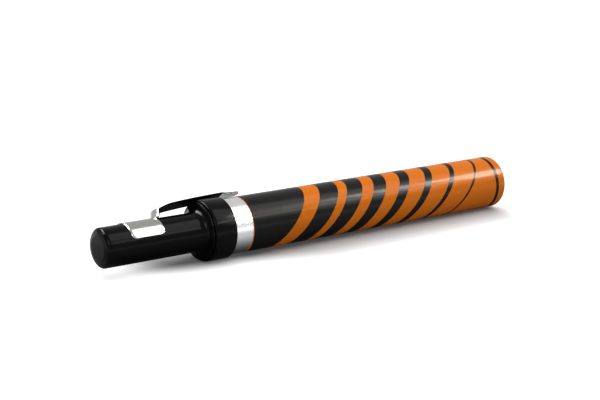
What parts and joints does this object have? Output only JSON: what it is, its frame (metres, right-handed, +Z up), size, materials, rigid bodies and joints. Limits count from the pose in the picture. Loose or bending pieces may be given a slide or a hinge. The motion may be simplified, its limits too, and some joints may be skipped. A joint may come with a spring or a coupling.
{
  "type": "valve-action marker pen",
  "caption": "Metal-barrelled marker pen with its cap on: a stepped cap with a sprung steel clip over a fibre nib and a spring valve that feeds ink from the barrel.",
  "frame": {"origin": "on the surface that the pen lies on, under the middle of its bounding box", "axes": "+X from the cap's front towards the barrel's rear end, +Z up; the pen's own axis drops by 0.42 degrees towards +X, because the cap's skirt is thicker than the barrel"},
  "size_m": [0.1428, 0.0176, 0.0181],
  "materials": {
    "black_plastic": "semi-gloss moulded",
    "pale_polythene": "satin",
    "clip_steel": "satin",
    "nib_fibre": "matt, inked",
    "holder_plastic": "satin",
    "seal_rubber": "matt",
    "spring_steel": "drawn wire",
    "ball_steel": "polished",
    "bare_aluminium": "fine satin",
    "orange_print": "gloss lacquer"
  },
  "bodies": {
    "body": {"barrel": "bare_aluminium", "printed_sleeve": "orange_print", "nib_holder": "holder_plastic", "mouth_gasket": "seal_rubber", "valve_seat": "seal_rubber", "spring_cage": "pale_polythene", "valve_spring": "spring_steel"},
    "cap": {"cap_shell": "black_plastic", "cap_liner": "pale_polythene", "clip_saddle": "clip_steel"},
    "clip": {"clip_arm": "clip_steel"},
    "nib": {"nib": "nib_fibre"},
    "plunger": {"valve_plunger": "holder_plastic", "plunger_seal": "seal_rubber"},
    "ball": {"mixing_ball": "ball_steel"}
  },
  "joints": [
    {"name": "cap_slide", "type": "slide", "parent": "body", "child": "cap", "axis": [-1, 0, 0.0073], "range_m": [0, 0.045]},
    {"name": "clip_flex", "type": "hinge", "parent": "cap", "child": "clip", "pos_m": [-0.05222, 0.00321, 0.01348], "axis": [0.0042, -0.8192, 0.5736], "range_deg": [0, 6], "stiffness_Nm_per_rad": 0.4},
    {"name": "nib_press", "type": "slide", "parent": "body", "child": "nib", "axis": [1, 0, -0.0073], "range_m": [0, 0.0018], "stiffness_N_per_m": 300},
    {"name": "valve_open", "type": "slide", "parent": "body", "child": "plunger", "axis": [1, 0, -0.0073], "range_m": [0, 0.0018], "deforming": ["valve_spring"]},
    {"name": "ball_roll", "type": "slide", "parent": "body", "child": "ball", "axis": [1, 0, -0.0073], "range_m": [-0.085, 0]}
  ],
  "couplings": [
    {"joint": "valve_open", "follows": "nib_press", "ratio": 1}
  ]
}
